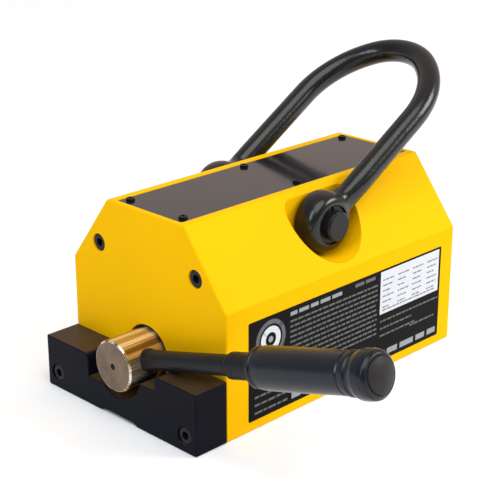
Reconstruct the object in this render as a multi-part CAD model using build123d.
"""Permanent lifting magnet with a turning rotor, a hand lever, a hinged bail and a slotted guard block.

Frame: origin at the centre of the pole face (the underside), +X from the lever end to the rear,
+Y from the label side to the far side, +Z up. All sizes are in millimetres.
"""

import os
from math import hypot, sqrt

from build123d import *

# ---- driving dimensions -------------------------------------------------------------------------
BODY_LENGTH = 260.0
BODY_WIDTH = 168.0
BODY_HEIGHT = 154.0
TOP_WIDTH = 84.0
SLOPE_FOOT = 99.0
BODY_CORNER_R = 1.5
END_PLATE = 20.0
STATIC_GAP = 0.02

GROOVE_FOOT = 23.0
GROOVE_ROOF = 15.5
GROOVE_DEPTH = 2.6

SHAFT_Z = 43.5
SHAFT_R = 20.0
SHAFT_TIP_X = -163.8
RUNNING_GAP = 0.05
BORE_R = 36.25
ROTOR_R = 35.5
ROTOR_FLANGE = 8.0
THRUST_GAP = 2.0
ROTOR_SLAB = 24.0
ROTOR_MAGNET_WIDTH = 60.0
ROTOR_SCREW = (5.0, 20.0)
ROTOR_SCREW_SPOT = (11.0, 24.0)
ROTOR_HEAD_DEPTH = 6.0
THRUST_RING_R = 33.0
THRUST_PLAY = 0.3
PLATE_BORE_R = 22.2
PLATE_CHAMFER = 0.8
BLIND_WALL = 4.0
SEAL_SETBACK = 1.0
SEAL_LENGTH = 2.5

CAVITY_HALF = 24.0
STATOR_FOOT = 86.0
STATOR_TOP = 136.0
MAGNET_GAP = 0.2
MAGNET_ROWS = 4

COVER_LENGTH = 251.0
COVER_WIDTH = 70.0
COVER_THICKNESS = 3.6
COVER_SUNK = 0.4
GASKET_THICKNESS = 1.0
COVER_SCREW_X = 118.0
COVER_SCREW_Y = 28.6
COVER_SCREW = (4.0, 12.0)
COVER_HEAD_DEPTH = 2.0

GUARD_THICKNESS = 30.0
GUARD_RIGHT_TOP = 48.5
GUARD_LEFT_TOP = 41.5
GUARD_LEDGE = 37.0
GUARD_FLOOR = 23.0
GUARD_RIGHT_WALL = 41.0
GUARD_LEFT_WALL = 34.0
GUARD_ARC_R = 26.0
GUARD_CORNER_R = 5.0

UPPER_SCREW = (53.0, 117.3)
LOWER_SCREW = (72.0, 12.6)
PLATE_SCREW = (8.0, 30.0)
GUARD_SCREW = (8.0, 58.0)
HEAD_DEPTH = 9.0
HOLE_CLEARANCE = 2.0
DOWEL_SPOT = (58.0, 30.0)
DOWEL_R = 3.0
DOWEL_HALF = 11.0

POCKET_R = 36.0
POCKET_Z = 138.5
POCKET_FLOOR = 45.0
POCKET_FLOOR_R = 7.0
PIVOT_Z = 128.5
LEG_Y = 58.0
BAIL_R = 9.5
BAIL_TILT = 59.0
LEG_LENGTH = 119.0
BOW_HEIGHT = 70.0
BOW_TOP_R = 46.0
EYE_Y = 54.0
EYE_R = 24.0
EYE_INNER = 46.8
EYE_OUTER = 67.0
EYE_RECESS_R = 15.6
EYE_RECESS_DEPTH = 3.2
PIN_R = 11.6
PIN_SPIGOT_R = 8.0
PIN_END = 73.0
PIN_ROOT = 27.0
EYE_BUSH_R = 13.6
PIN_CHAMFER = 1.4
RING_SPAN = (64.3, 65.5)
RING_R = 14.8
RING_GROOVE_DEPTH = 0.8
RING_GROOVE_PLAY = 0.1
RING_SPLIT = 5.0
WASHER_R = 17.0
WASHER_THICKNESS = 1.5

LEVER_X = -145.0
LEVER_RISE = 16.0
LEVER_TRAVEL = 154.0
ROD_R = 7.5
ROD_ROOT_R = 8.6
ROD_SPIGOT_R = 6.0
ROD_SHOULDER = 133.5
COLLAR_START = 109.5
COLLAR_R = 9.6
GRIP_START = 134.5
GRIP_END = 243.0
CAP_DOME = 3.5
CAP_SAG = 2.5

LABEL_LENGTH = 222.0
LABEL_HEIGHT = 78.0
LABEL_CENTRE = (3.0, 46.8)
LABEL_THICKNESS = 0.4

HALF_LENGTH = BODY_LENGTH / 2
HALF_WIDTH = BODY_WIDTH / 2
CORE_END = HALF_LENGTH - END_PLATE
GUARD_FRONT = -HALF_LENGTH - GUARD_THICKNESS
ROTOR_END = CORE_END - THRUST_GAP
RECESS_FLOOR = BODY_HEIGHT - COVER_SUNK - COVER_THICKNESS - GASKET_THICKNESS


# ---- basic shapes -------------------------------------------------------------------------------
def block(x_range, y_range, z_range):
    """A box between the given ranges."""
    spans = (x_range, y_range, z_range)
    centre = [(low + high) / 2 for low, high in spans]
    return Pos(*centre) * Box(*[high - low for low, high in spans])


def x_rod(radius, x_start, x_end, y=0.0, z=SHAFT_Z):
    """A cylinder along X."""
    return Pos((x_start + x_end) / 2, y, z) * Rot(0, 90, 0) * Cylinder(radius, abs(x_end - x_start))


def y_rod(radius, y_start, y_end, x=0.0, z=PIVOT_Z):
    """A cylinder along Y."""
    return Pos(x, (y_start + y_end) / 2, z) * Rot(90, 0, 0) * Cylinder(radius, abs(y_end - y_start))


def z_rod(radius, z_start, z_end, x=0.0, y=0.0):
    """A cylinder along Z."""
    return Pos(x, y, (z_start + z_end) / 2) * Cylinder(radius, abs(z_end - z_start))


def x_extrusion(outline, x_start, x_end):
    """A prism along X from an outline of (y, z) points or a ready face drawn on the YZ plane."""
    face = outline if isinstance(outline, Face) else Plane.YZ * Polygon(*outline, align=None).face()
    return Pos(x_start, 0, 0) * extrude(face, x_end - x_start, dir=(1, 0, 0))


def ring_x(outer, inner, x_start, x_end):
    return x_rod(outer, x_start, x_end) - x_rod(inner, x_start - 1, x_end + 1)


def ring_y(outer, inner, y_start, y_end):
    low, high = sorted((y_start, y_end))
    return y_rod(outer, low, high) - y_rod(inner, low - 1, high + 1)


def along_lever(shape):
    """Carries a shape built along +Z from the shaft's axis onto the lever's line."""
    return Pos(LEVER_X, 0, SHAFT_Z) * Rot(90 - LEVER_RISE, 0, 0) * shape


def turned(profile):
    """A body of revolution about +Z from (radius, height) points."""
    face = Plane.XZ * Polygon(*profile, align=None)
    return revolve(face, Axis.Z)


def cap_screw(thread_d, length):
    """Socket cap screw along Z: the head stands on z = 0 and the shank hangs below it."""
    head_r = thread_d * 0.8125
    shank_r = thread_d / 2 - STATIC_GAP
    head = Pos(0, 0, thread_d / 2) * Cylinder(head_r, thread_d)
    head = chamfer(head.edges().group_by(Axis.Z)[-1], thread_d * 0.08)
    socket = extrude(Pos(0, 0, thread_d * 0.45) * RegularPolygon(thread_d * 0.43, 6), thread_d)
    return head - socket + Pos(0, 0, -length / 2) * Cylinder(shank_r, length)


def screw_hole(thread_d, length):
    """Counterbored seat and hole that a cap screw of that size, placed the same way, fits."""
    depth = length + HOLE_CLEARANCE
    shank = Pos(0, 0, -depth / 2) * Cylinder(thread_d / 2, depth)
    return shank + Pos(0, 0, 20) * Cylinder(thread_d * 0.865, 40)


def facing_front(x, y, z):
    """Places a screw with its head towards -X."""
    return Pos(x, y, z) * Rot(0, -90, 0)


def facing_rear(x, y, z):
    """Places a screw with its head towards +X."""
    return Pos(x, y, z) * Rot(0, 90, 0)


def mirrored(shape):
    """The same shape on the other side of the long centre plane."""
    return mirror(shape, Plane.XZ)


# ---- outlines and cutters -----------------------------------------------------------------------
def body_outline():
    """House-shaped end section of the body."""
    half_top = TOP_WIDTH / 2
    corners = [(-HALF_WIDTH, 0), (-HALF_WIDTH, SLOPE_FOOT), (-half_top, BODY_HEIGHT)]
    corners += [(half_top, BODY_HEIGHT), (HALF_WIDTH, SLOPE_FOOT), (HALF_WIDTH, 0)]
    section = Polygon(*corners, align=None)
    section = fillet(section.vertices(), BODY_CORNER_R)
    return (Plane.YZ * section).face()


def body_slice(x_start, x_end):
    return x_extrusion(body_outline(), x_start, x_end)


def groove(x_start, x_end):
    """Shallow trapezoid groove along the middle of the underside."""
    foot = GROOVE_FOOT + (GROOVE_FOOT - GROOVE_ROOF) / GROOVE_DEPTH
    points = [(-foot, -1), (foot, -1), (GROOVE_ROOF, GROOVE_DEPTH), (-GROOVE_ROOF, GROOVE_DEPTH)]
    return x_extrusion(points, x_start - 1, x_end + 1)


def cover_recess():
    half_x = COVER_LENGTH / 2
    half_y = COVER_WIDTH / 2
    return block((-half_x, half_x), (-half_y, half_y), (RECESS_FLOOR, BODY_HEIGHT + 5))


def front_upper_places():
    y, z = UPPER_SCREW
    return [facing_front(-HALF_LENGTH + HEAD_DEPTH, side * y, z) for side in (-1, 1)]


def rear_places():
    spots = [(side * y, z) for y, z in (UPPER_SCREW, LOWER_SCREW) for side in (-1, 1)]
    return [facing_rear(HALF_LENGTH - HEAD_DEPTH, y, z) for y, z in spots]


def guard_screw_places():
    y, z = LOWER_SCREW
    return [facing_front(GUARD_FRONT + HEAD_DEPTH, side * y, z) for side in (-1, 1)]


def cover_screw_places():
    """Six screws whose heads sit half sunk in the cover."""
    seat = BODY_HEIGHT - COVER_SUNK - COVER_HEAD_DEPTH
    columns = (-COVER_SCREW_X, 0, COVER_SCREW_X)
    return [Pos(x, side * COVER_SCREW_Y, seat) for x in columns for side in (-1, 1)]


def all_screw_holes():
    """Every hole that passes through or into the body, its end plates and the guard block."""
    holes = [place * screw_hole(*PLATE_SCREW) for place in front_upper_places() + rear_places()]
    holes += [place * screw_hole(*GUARD_SCREW) for place in guard_screw_places()]
    holes += [place * screw_hole(*COVER_SCREW) for place in cover_screw_places()]
    return holes


def eye_pocket(side):
    """Round pocket in the slope with a rounded floor corner, one for each bail eye."""
    pocket = y_rod(POCKET_R, POCKET_FLOOR, HALF_WIDTH + 1, z=POCKET_Z)
    pocket = fillet(pocket.edges().sort_by(Axis.Y)[0], POCKET_FLOOR_R)
    return pocket if side > 0 else mirrored(pocket)


# ---- the magnetic body --------------------------------------------------------------------------
def pole_core():
    """Both pole blocks before they are parted by the bore, the cavity and the separators."""
    core = body_slice(-CORE_END, CORE_END) - x_rod(BORE_R, -CORE_END, CORE_END)
    core -= block((-CORE_END, CORE_END), (-CAVITY_HALF, CAVITY_HALF), (SHAFT_Z, BODY_HEIGHT + 1))
    core -= block((-CORE_END, CORE_END), (-GROOVE_ROOF, GROOVE_ROOF), (-1, SHAFT_Z))
    core -= groove(-CORE_END, CORE_END)
    core -= cover_recess()
    for side in (-1, 1):
        core -= eye_pocket(side)
        core -= y_rod(PIN_SPIGOT_R, side * PIN_ROOT, side * (POCKET_FLOOR + 1))
    for hole in all_screw_holes():
        core -= hole
    return core


def pole_block(core, side):
    half = block((-BODY_LENGTH, BODY_LENGTH), sorted((0, side * BODY_WIDTH)), (-1, BODY_HEIGHT + 1))
    return core & half


def bottom_separator():
    """Non-magnetic strip that closes the bore between the two poles."""
    strip = block((-CORE_END, CORE_END), (-GROOVE_ROOF, GROOVE_ROOF), (GROOVE_DEPTH, SHAFT_Z / 2))
    return strip - x_rod(BORE_R, -CORE_END - 1, CORE_END + 1)


def top_separator():
    """Non-magnetic saddle between the bore and the fixed magnets."""
    strip = block((-CORE_END, CORE_END), (-CAVITY_HALF, CAVITY_HALF), (SHAFT_Z + 20, STATOR_FOOT))
    return strip - x_rod(BORE_R, -CORE_END - 1, CORE_END + 1)


def stator_magnets():
    """Fixed magnet blocks, two layers of four, between the poles."""
    pitch = 2 * CORE_END / MAGNET_ROWS
    layer = (STATOR_TOP - STATOR_FOOT) / 2
    half_y = CAVITY_HALF - STATIC_GAP
    blocks = []
    for row in range(MAGNET_ROWS):
        x_range = (-CORE_END + row * pitch + MAGNET_GAP, -CORE_END + (row + 1) * pitch - MAGNET_GAP)
        for level in (0, 1):
            z_low = STATOR_FOOT + level * layer
            blocks.append(block(x_range, (-half_y, half_y), (z_low + MAGNET_GAP, z_low + layer)))
    return blocks


def top_spacer():
    """Aluminium filler that holds the fixed magnets down under the cover."""
    half_y = CAVITY_HALF - STATIC_GAP
    return block((-CORE_END, CORE_END), (-half_y, half_y), (STATOR_TOP + STATIC_GAP, RECESS_FLOOR))


def end_plate(front):
    """Full-section end plate; the front one is bored through for the shaft, the rear one is blind."""
    x_range = (-HALF_LENGTH, -CORE_END) if front else (CORE_END, HALF_LENGTH)
    plate = body_slice(*x_range)
    outer = plate.faces().sort_by(Axis.X)[0 if front else -1]
    plate = chamfer(outer.edges(), PLATE_CHAMFER)
    plate -= groove(*x_range)
    plate -= cover_recess()
    bore_end = 1 if front else -BLIND_WALL
    plate -= x_rod(PLATE_BORE_R, x_range[0] - front, x_range[1] + bore_end)
    for hole in all_screw_holes():
        plate -= hole
    for hole in dowels(DOWEL_R, DOWEL_HALF + 1) if front else []:
        plate -= hole
    return plate


def dowels(radius, half_length):
    """Two dowels, or their holes, that locate the guard block on the front end plate."""
    y, z = DOWEL_SPOT
    x_range = (-HALF_LENGTH - half_length, -HALF_LENGTH + half_length)
    return [x_rod(radius, *x_range, side * y, z) for side in (-1, 1)]


def guard_outline():
    """Front view of the guard block: unequal shoulders, a ledge and an arc round the shaft."""
    right_y = -sqrt(GUARD_ARC_R**2 - (SHAFT_Z - GUARD_LEDGE) ** 2)
    left_y = sqrt(GUARD_ARC_R**2 - (SHAFT_Z - GUARD_FLOOR) ** 2)
    with BuildSketch(Plane.YZ) as sketch:
        with BuildLine():
            Polyline(
                (right_y, GUARD_LEDGE),
                (-GUARD_RIGHT_WALL, GUARD_LEDGE),
                (-GUARD_RIGHT_WALL, GUARD_RIGHT_TOP),
                (-HALF_WIDTH, GUARD_RIGHT_TOP),
                (-HALF_WIDTH, 0),
                (HALF_WIDTH, 0),
                (HALF_WIDTH, GUARD_LEFT_TOP),
                (GUARD_LEFT_WALL, GUARD_LEFT_TOP),
                (GUARD_LEFT_WALL, GUARD_FLOOR),
                (left_y, GUARD_FLOOR),
            )
            ThreePointArc((left_y, GUARD_FLOOR), (0, SHAFT_Z - GUARD_ARC_R), (right_y, GUARD_LEDGE))
        make_face()
        tops = [(-GUARD_RIGHT_WALL, GUARD_RIGHT_TOP), (GUARD_LEFT_WALL, GUARD_LEFT_TOP)]
        corners = [v for v in sketch.vertices() if any(hypot(v.X - y, v.Y - z) < 0.1 for y, z in tops)]
        fillet(corners, GUARD_CORNER_R)
    return sketch.sketch.face()


def guard_block():
    guard = x_extrusion(guard_outline(), GUARD_FRONT, -HALF_LENGTH)
    front = guard.faces().sort_by(Axis.X)[0]
    guard = chamfer(front.edges(), PLATE_CHAMFER)
    guard -= groove(GUARD_FRONT, -HALF_LENGTH)
    for cutter in all_screw_holes() + dowels(DOWEL_R, DOWEL_HALF + 1):
        guard -= cutter
    return guard


def cover_plate(z_low, thickness, inset):
    """The cover or its gasket: a plate with the six screw holes."""
    half_x = COVER_LENGTH / 2 - inset
    half_y = COVER_WIDTH / 2 - inset
    plate = block((-half_x, half_x), (-half_y, half_y), (z_low, z_low + thickness))
    for place in cover_screw_places():
        plate -= place * screw_hole(*COVER_SCREW)
    return plate


def rating_label():
    """Thin printed plate on the label side."""
    x, z = LABEL_CENTRE
    x_range = (x - LABEL_LENGTH / 2, x + LABEL_LENGTH / 2)
    z_range = (z - LABEL_HEIGHT / 2, z + LABEL_HEIGHT / 2)
    return block(x_range, (-HALF_WIDTH - LABEL_THICKNESS, -HALF_WIDTH), z_range)


# ---- bearings -----------------------------------------------------------------------------------
def front_bush():
    seal_end = -HALF_LENGTH + SEAL_SETBACK + SEAL_LENGTH
    return ring_x(PLATE_BORE_R - STATIC_GAP, SHAFT_R + RUNNING_GAP, seal_end + 0.1, -CORE_END)


def shaft_seal():
    start = -HALF_LENGTH + SEAL_SETBACK
    return ring_x(PLATE_BORE_R - STATIC_GAP, SHAFT_R + RUNNING_GAP, start, start + SEAL_LENGTH)


def rear_bush():
    return ring_x(PLATE_BORE_R - STATIC_GAP, SHAFT_R + RUNNING_GAP, CORE_END, HALF_LENGTH - BLIND_WALL - 1)


def thrust_ring(x_start):
    """Bronze ring that takes the rotor's end load against an end plate."""
    return ring_x(THRUST_RING_R, SHAFT_R + RUNNING_GAP, x_start, x_start + THRUST_GAP - THRUST_PLAY)


# ---- rotor, shaft and lever ---------------------------------------------------------------------
def rotor_frame(shape):
    """Turns a shape built with its magnet slab flat in the XY plane to the rotor's rest angle.

    The slab lies flat when the lever is half way through its travel.
    """
    return Pos(0, 0, SHAFT_Z) * Rot(LEVER_TRAVEL / 2, 0, 0) * Pos(0, 0, -SHAFT_Z) * shape


def rotor_body():
    inner_end = ROTOR_END - ROTOR_FLANGE
    return x_rod(ROTOR_R, -inner_end, inner_end)


def rotor_screw_spots():
    """(y, z) spots of the four screws in each rotor flange, before the rotor is turned."""
    y, z = ROTOR_SCREW_SPOT
    return [(a * y, SHAFT_Z + b * z) for a in (-1, 1) for b in (-1, 1)]


def rotor_screw_places():
    seat = ROTOR_END - ROTOR_HEAD_DEPTH
    front = [facing_front(-seat, y, z) for y, z in rotor_screw_spots()]
    return front + [facing_rear(seat, y, z) for y, z in rotor_screw_spots()]


def rotor_pole(upper):
    """Half-round steel pole piece on one side of the magnet slab."""
    side = 1 if upper else -1
    z_range = sorted((SHAFT_Z + side * ROTOR_SLAB / 2, SHAFT_Z + side * ROTOR_R))
    pole = rotor_body() & block((-ROTOR_END, ROTOR_END), (-ROTOR_R, ROTOR_R), z_range)
    for place in rotor_screw_places():
        pole -= place * screw_hole(*ROTOR_SCREW)
    return rotor_frame(pole)


def rotor_spacers():
    """Two non-magnetic strips that close the slab's edges."""
    z_range = (SHAFT_Z - ROTOR_SLAB / 2, SHAFT_Z + ROTOR_SLAB / 2)
    strips = []
    for side in (-1, 1):
        y_range = sorted((side * ROTOR_MAGNET_WIDTH / 2, side * ROTOR_R))
        edge = block((-ROTOR_END, ROTOR_END), y_range, z_range)
        strips.append(rotor_frame(rotor_body() & edge))
    return strips


def rotor_magnets():
    """Four magnet blocks across the rotor."""
    inner_end = ROTOR_END - ROTOR_FLANGE
    pitch = 2 * inner_end / MAGNET_ROWS
    half_y = ROTOR_MAGNET_WIDTH / 2 - STATIC_GAP
    half_z = ROTOR_SLAB / 2 - STATIC_GAP
    blocks = []
    for row in range(MAGNET_ROWS):
        x_range = (-inner_end + row * pitch + MAGNET_GAP, -inner_end + (row + 1) * pitch - MAGNET_GAP)
        magnet = block(x_range, (-half_y, half_y), (SHAFT_Z - half_z, SHAFT_Z + half_z))
        blocks.append(rotor_frame(magnet))
    return blocks


def flanged_journal(front):
    """Shaft end with the flange that closes the rotor; the front one carries the lever."""
    if front:
        tip = x_rod(SHAFT_R, SHAFT_TIP_X, -ROTOR_END + 1)
        tip = chamfer(tip.edges().sort_by(Axis.X)[0], 1.2)
        centre_drill = Pos(SHAFT_TIP_X + 1.5, 0, SHAFT_Z) * Rot(0, -90, 0) * Cone(0.4, 2.2, 3.0)
        journal = tip + x_rod(ROTOR_R, -ROTOR_END, -ROTOR_END + ROTOR_FLANGE) - centre_drill
        journal -= along_lever(z_rod(ROD_SPIGOT_R, 0, 2 * SHAFT_R))
    else:
        tail = x_rod(SHAFT_R, ROTOR_END - 1, HALF_LENGTH - BLIND_WALL - 2)
        tail = chamfer(tail.edges().sort_by(Axis.X)[-1], 1.0)
        journal = tail + x_rod(ROTOR_R, ROTOR_END - ROTOR_FLANGE, ROTOR_END)
    for place in rotor_screw_places():
        journal -= rotor_frame(place * screw_hole(*ROTOR_SCREW))
    return journal


def lever_rod():
    """Round rod: spigot in the shaft, flared root, plain length and a thinner tail inside the grip."""
    tip_r = ROD_SPIGOT_R - STATIC_GAP
    profile = [(0, 1), (tip_r, 1), (tip_r, 14), (ROD_ROOT_R, 14), (ROD_ROOT_R, 22), (7.9, 26), (ROD_R, 31)]
    profile += [(ROD_R, ROD_SHOULDER), (ROD_SPIGOT_R, ROD_SHOULDER), (ROD_SPIGOT_R, GRIP_END - 8)]
    profile += [(0, GRIP_END - 8)]
    rod = along_lever(turned(profile))
    root = along_lever(z_rod(tip_r, 0, 2 * SHAFT_R))
    barrel = x_rod(SHAFT_R + STATIC_GAP, LEVER_X - 15, LEVER_X + 15)
    return rod - (barrel - root)


def lever_collar():
    """Ferrule slid over the rod, up against the grip."""
    bore = ROD_R + STATIC_GAP
    profile = [(bore, COLLAR_START), (COLLAR_R - 1, COLLAR_START), (COLLAR_R, COLLAR_START + 1)]
    profile += [(COLLAR_R, 131.5), (COLLAR_R - 1, 132.5), (COLLAR_R - 1, ROD_SHOULDER), (bore, ROD_SHOULDER)]
    return along_lever(turned(profile))


def lever_grip():
    """Moulded grip: ringed shoulder, slightly tapered barrel, a bead and a thick end flange."""
    bore = ROD_SPIGOT_R + STATIC_GAP
    outline = [(10.5, GRIP_START), (13.2, 135.3), (14.3, 137), (14.3, 139), (13.4, 140), (14.2, 141)]
    outline += [(14.9, 142.6), (15.1, 145), (15.1, 160), (14.3, 217), (13.6, 218), (13.6, 219.5)]
    outline += [(14.9, 220.5), (14.9, 224), (13.9, 225), (13.9, 227), (15.4, 228), (16.4, 231)]
    outline += [(16.5, 235), (16.2, 240), (15.0, 242.4)]
    outline += [(13.0, GRIP_END), (12.0, GRIP_END), (12.0, GRIP_END - 4), (bore, GRIP_END - 4)]
    return along_lever(turned([(bore, GRIP_START)] + outline))


def grip_cap():
    """Domed plug in the grip's end."""
    outer = 12.0 - STATIC_GAP
    dome_r = (outer**2 + CAP_SAG**2) / (2 * CAP_SAG)
    plug = z_rod(outer, GRIP_END - 3.9, GRIP_END + CAP_DOME)
    return along_lever(plug & Pos(0, 0, GRIP_END + CAP_DOME - dome_r) * Sphere(dome_r))


# ---- bail and its pivots ------------------------------------------------------------------------
def bail_path():
    """Centre line in the YZ plane: straight legs joined by a bow of three tangent arcs."""
    rise = BOW_HEIGHT - BOW_TOP_R
    inset = LEG_Y - BOW_TOP_R
    reach = (rise**2 + inset**2) / (2 * inset)
    side_r = BOW_TOP_R + reach
    side_centre = Vector(LEG_Y - side_r, LEG_LENGTH)
    top_centre = Vector(0, LEG_LENGTH + rise)
    join = top_centre + (top_centre - side_centre).normalized() * BOW_TOP_R
    middle = (Vector(LEG_Y, LEG_LENGTH) - side_centre + (join - side_centre)).normalized() * side_r
    shoulder = side_centre + middle
    with BuildLine(Plane.YZ) as path:
        Line((-LEG_Y, 14), (-LEG_Y, LEG_LENGTH))
        ThreePointArc((-LEG_Y, LEG_LENGTH), (-shoulder.X, shoulder.Y), (-join.X, join.Y))
        ThreePointArc((-join.X, join.Y), (0, LEG_LENGTH + BOW_HEIGHT), (join.X, join.Y))
        ThreePointArc((join.X, join.Y), (shoulder.X, shoulder.Y), (LEG_Y, LEG_LENGTH))
        Line((LEG_Y, LEG_LENGTH), (LEG_Y, 14))
    return path.wires()[0]


def bail_eye(side):
    """Ball-shaped eye with flat faces and a flared neck, standing at the origin's height."""
    ball = Pos(0, side * EYE_Y, 0) * Sphere(EYE_R)
    slab = block((-40, 40), sorted((side * EYE_INNER, side * EYE_OUTER)), (-40, 60))
    neck = Pos(0, side * LEG_Y, 27) * Cone(14.0, BAIL_R, 22)
    neck &= block((-40, 40), sorted((side * (LEG_Y - BAIL_R - 0.6), side * EYE_OUTER)), (-40, 60))
    return (ball & slab) + neck


def bail():
    """One forged piece: rod bow, two eyes, their bores and the outer recesses."""
    wire = bail_path()
    section = Plane(origin=wire @ 0, z_dir=(0, 0, 1)) * Circle(BAIL_R)
    loop = sweep(section, path=wire)
    for side in (-1, 1):
        loop += bail_eye(side)
    for side in (-1, 1):
        bore = Pos(0, 0, -PIVOT_Z) * y_rod(EYE_BUSH_R, side * 30, side * 90)
        recess_start = side * (EYE_OUTER - EYE_RECESS_DEPTH)
        recess = Pos(0, 0, -PIVOT_Z) * y_rod(EYE_RECESS_R, recess_start, side * 90)
        loop = loop - bore - recess
    return Pos(0, 0, PIVOT_Z) * Rot(0, BAIL_TILT, 0) * loop


def eye_bush(side):
    """Bronze bush pressed into a bail eye."""
    start = side * (EYE_INNER + 0.2)
    end = side * (EYE_OUTER - EYE_RECESS_DEPTH - 0.1)
    return ring_y(EYE_BUSH_R - STATIC_GAP, PIN_R + RUNNING_GAP, start, end)


def pivot_pin(side):
    """Pin fixed in the pole block, with a chamfered end and a retaining-ring groove."""
    shank = y_rod(PIN_R, POCKET_FLOOR, PIN_END)
    shank = chamfer(shank.edges().sort_by(Axis.Y)[-1], PIN_CHAMFER)
    pin = shank + y_rod(PIN_SPIGOT_R - STATIC_GAP, PIN_ROOT, POCKET_FLOOR + 1)
    groove_span = (RING_SPAN[0] - RING_GROOVE_PLAY, RING_SPAN[1] + RING_GROOVE_PLAY)
    pin -= ring_y(PIN_R + 1, PIN_R - RING_GROOVE_DEPTH, *groove_span)
    return pin if side > 0 else mirrored(pin)


def retaining_ring(side):
    """Split spring ring in the pin's groove."""
    ring = ring_y(RING_R, PIN_R - RING_GROOVE_DEPTH + STATIC_GAP, *RING_SPAN)
    ring -= block((-RING_SPLIT / 2, RING_SPLIT / 2), RING_SPAN, (PIVOT_Z, PIVOT_Z + RING_R))
    return ring if side > 0 else mirrored(ring)


def pivot_washer(side):
    """Bronze washer between the pocket floor and the eye."""
    y_range = (POCKET_FLOOR + STATIC_GAP, POCKET_FLOOR + WASHER_THICKNESS)
    washer = ring_y(WASHER_R, PIN_R + STATIC_GAP, *y_range)
    return washer if side > 0 else mirrored(washer)


# ---- assembly -----------------------------------------------------------------------------------
def placed(places, shape):
    return [place * shape for place in places]


def build_nodes():
    """Every sub-part by node name; a list holds identical separate solids."""
    core = pole_core()
    rotor_screws = placed(rotor_screw_places(), cap_screw(*ROTOR_SCREW))
    return {
        "right_pole_block": pole_block(core, -1),
        "left_pole_block": pole_block(core, 1),
        "bottom_separator": bottom_separator(),
        "top_separator": top_separator(),
        "stator_magnets": stator_magnets(),
        "top_spacer": top_spacer(),
        "front_end_plate": end_plate(True),
        "rear_end_plate": end_plate(False),
        "front_plate_screws": placed(front_upper_places(), cap_screw(*PLATE_SCREW)),
        "rear_plate_screws": placed(rear_places(), cap_screw(*PLATE_SCREW)),
        "guard_block": guard_block(),
        "guard_screws": placed(guard_screw_places(), cap_screw(*GUARD_SCREW)),
        "guard_dowels": dowels(DOWEL_R - STATIC_GAP, DOWEL_HALF),
        "cover_gasket": cover_plate(RECESS_FLOOR, GASKET_THICKNESS, 0.3),
        "top_cover": cover_plate(RECESS_FLOOR + GASKET_THICKNESS, COVER_THICKNESS, 0.15),
        "cover_screws": placed(cover_screw_places(), cap_screw(*COVER_SCREW)),
        "rating_label": rating_label(),
        "front_bush": front_bush(),
        "rear_bush": rear_bush(),
        "shaft_seal": shaft_seal(),
        "front_thrust_ring": thrust_ring(-CORE_END),
        "rear_thrust_ring": thrust_ring(ROTOR_END + THRUST_PLAY),
        "front_shaft": flanged_journal(True),
        "rear_journal": flanged_journal(False),
        "rotor_upper_pole": rotor_pole(True),
        "rotor_lower_pole": rotor_pole(False),
        "rotor_magnets": rotor_magnets(),
        "rotor_spacers": rotor_spacers(),
        "rotor_screws": [rotor_frame(screw) for screw in rotor_screws],
        "lever_rod": lever_rod(),
        "lever_collar": lever_collar(),
        "lever_grip": lever_grip(),
        "grip_cap": grip_cap(),
        "bail": bail(),
        "right_eye_bush": eye_bush(-1),
        "left_eye_bush": eye_bush(1),
        "right_pivot_pin": pivot_pin(-1),
        "left_pivot_pin": pivot_pin(1),
        "right_retaining_ring": retaining_ring(-1),
        "left_retaining_ring": retaining_ring(1),
        "right_pivot_washer": pivot_washer(-1),
        "left_pivot_washer": pivot_washer(1),
    }


def main():
    os.makedirs("parts", exist_ok=True)
    for name, shape in build_nodes().items():
        pieces = shape if isinstance(shape, list) else [shape]
        solids = [solid for piece in pieces for solid in piece.solids()]
        export_step(Compound(children=solids), f"parts/{name}.step")


main()
